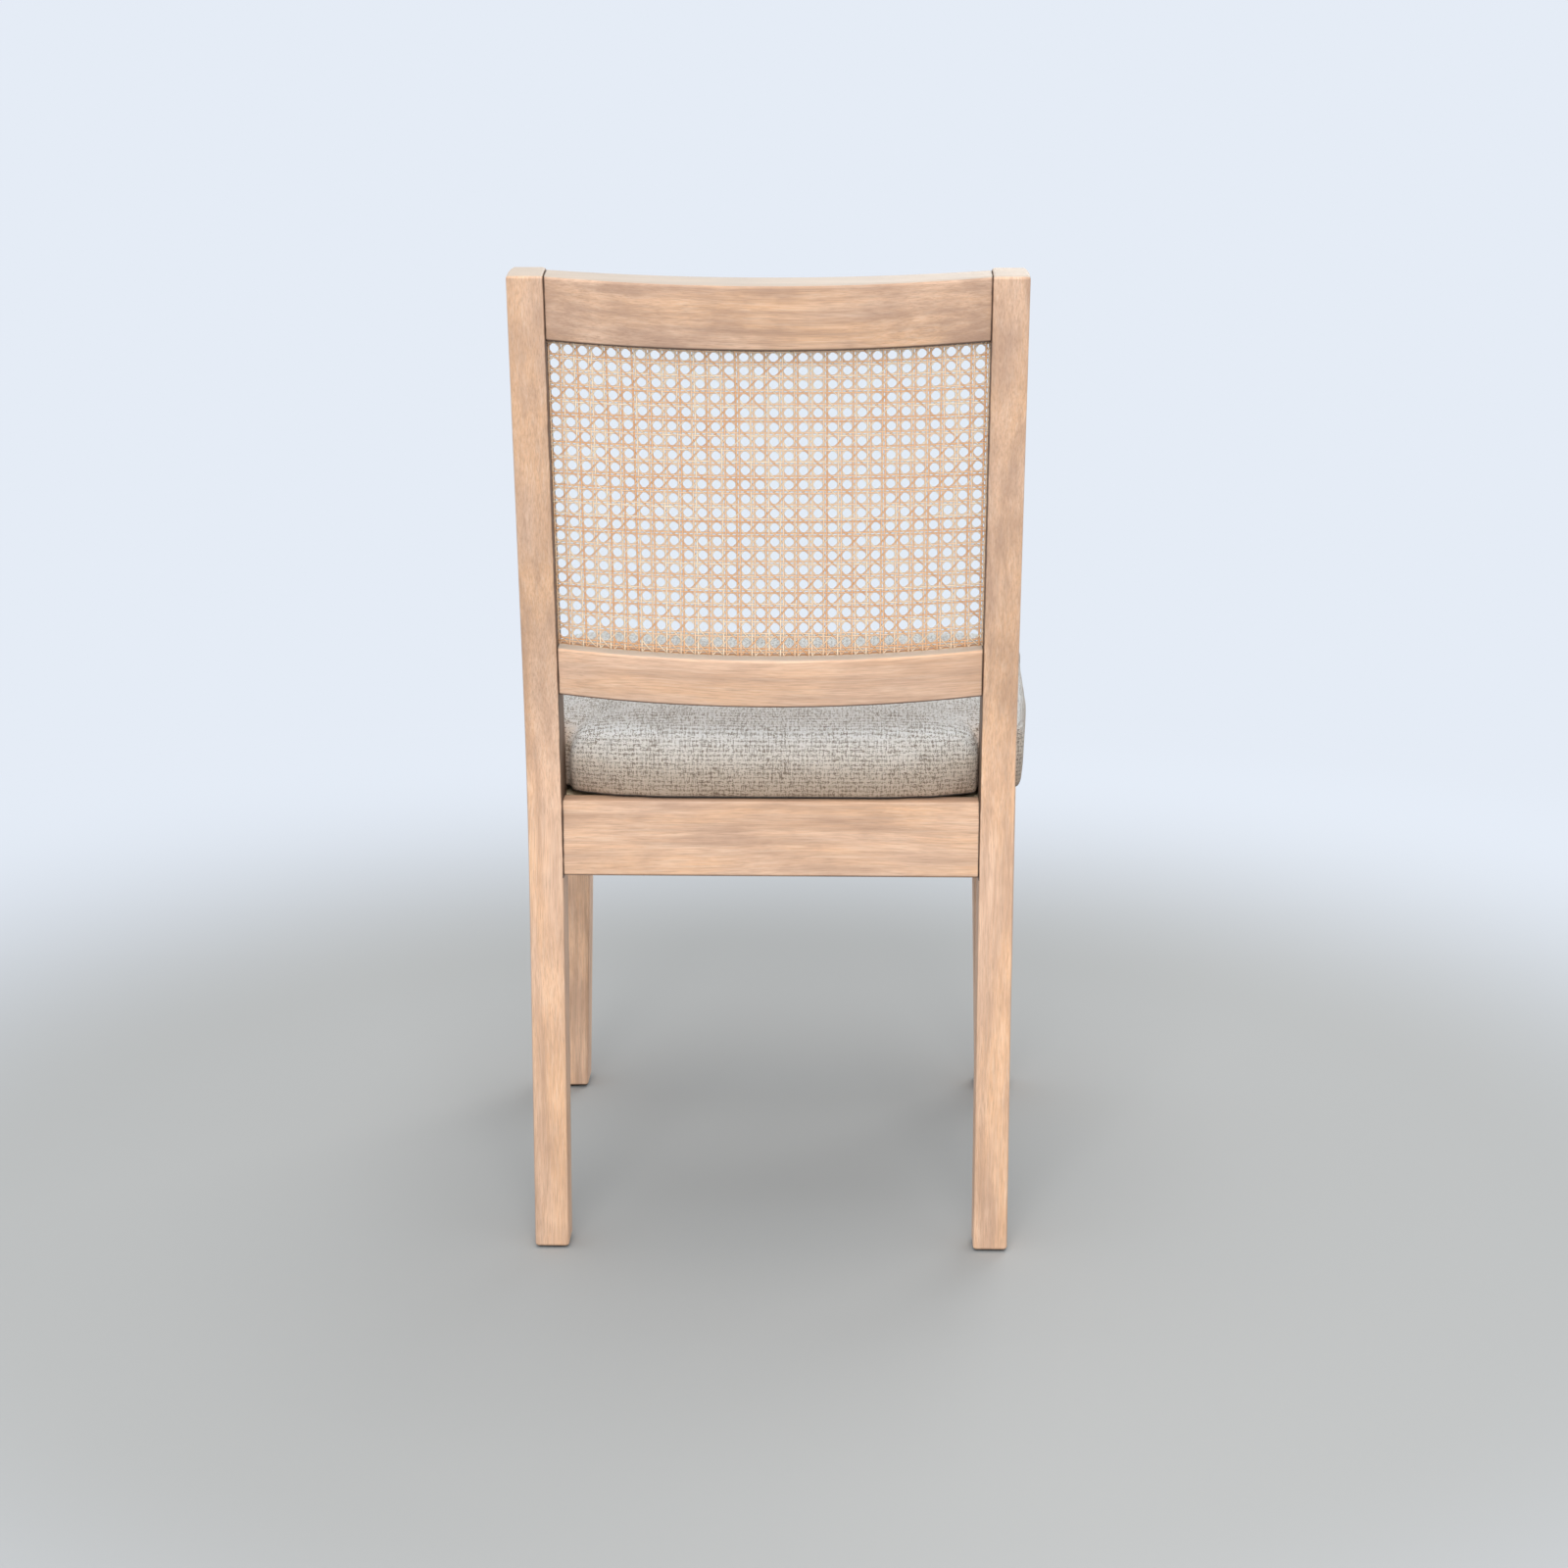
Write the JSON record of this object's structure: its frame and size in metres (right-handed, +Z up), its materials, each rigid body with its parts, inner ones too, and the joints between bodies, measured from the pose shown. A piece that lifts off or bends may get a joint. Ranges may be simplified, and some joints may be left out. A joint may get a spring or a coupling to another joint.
{
  "type": "dining chair",
  "caption": "Armless wooden dining chair with raked rear posts, a bowed cane panel between two curved back rails, and an upholstered seat.",
  "frame": {"origin": "on the floor, under the middle of the chair's overall width and depth", "axes": "+Z up, -Y the way the sitter faces, +X to the sitter's left"},
  "size_m": [0.4996, 0.5783, 0.9161],
  "materials": {
    "whitewashed_wood": "open-grained hardwood with a pale whitewash stain, satin",
    "cane": "split cane webbing, smooth side to the front and back, satin",
    "reed": "rattan reed, satin",
    "tweed": "woven tweed with cream and brown slubs, matt",
    "plywood": "unfinished plywood, matt",
    "dust_cloth": "black spunbond cloth, matt",
    "plain_wood": "unfinished hardwood, matt",
    "zinc_steel": "zinc-plated steel",
    "nylon": "moulded nylon, matt"
  },
  "bodies": {
    "root": {"rear_post_left": "whitewashed_wood", "rear_post_right": "whitewashed_wood", "front_leg_left": "whitewashed_wood", "front_leg_right": "whitewashed_wood", "side_seat_rail_left": "whitewashed_wood", "side_seat_rail_right": "whitewashed_wood", "rear_seat_rail": "whitewashed_wood", "front_seat_rail": "whitewashed_wood", "crest_rail": "whitewashed_wood", "lower_back_rail": "whitewashed_wood", "cane_panel": "cane", "cane_spline_top": "reed", "cane_spline_bottom": "reed", "cane_spline_left": "reed", "cane_spline_right": "reed", "seat_cushion": "tweed", "seat_board": "plywood", "dust_cloth": "dust_cloth", "corner_block_rear_left": "plain_wood", "block_screw_rear_left_cross": "zinc_steel", "block_screw_rear_left_side": "zinc_steel", "seat_screw_rear_left": "zinc_steel", "glide_rear_left": "nylon", "corner_block_rear_right": "plain_wood", "block_screw_rear_right_cross": "zinc_steel", "block_screw_rear_right_side": "zinc_steel", "seat_screw_rear_right": "zinc_steel", "glide_rear_right": "nylon", "corner_block_front_left": "plain_wood", "block_screw_front_left_cross": "zinc_steel", "block_screw_front_left_side": "zinc_steel", "seat_screw_front_left": "zinc_steel", "glide_front_left": "nylon", "corner_block_front_right": "plain_wood", "block_screw_front_right_cross": "zinc_steel", "block_screw_front_right_side": "zinc_steel", "seat_screw_front_right": "zinc_steel", "glide_front_right": "nylon"}
  },
  "joints": []
}
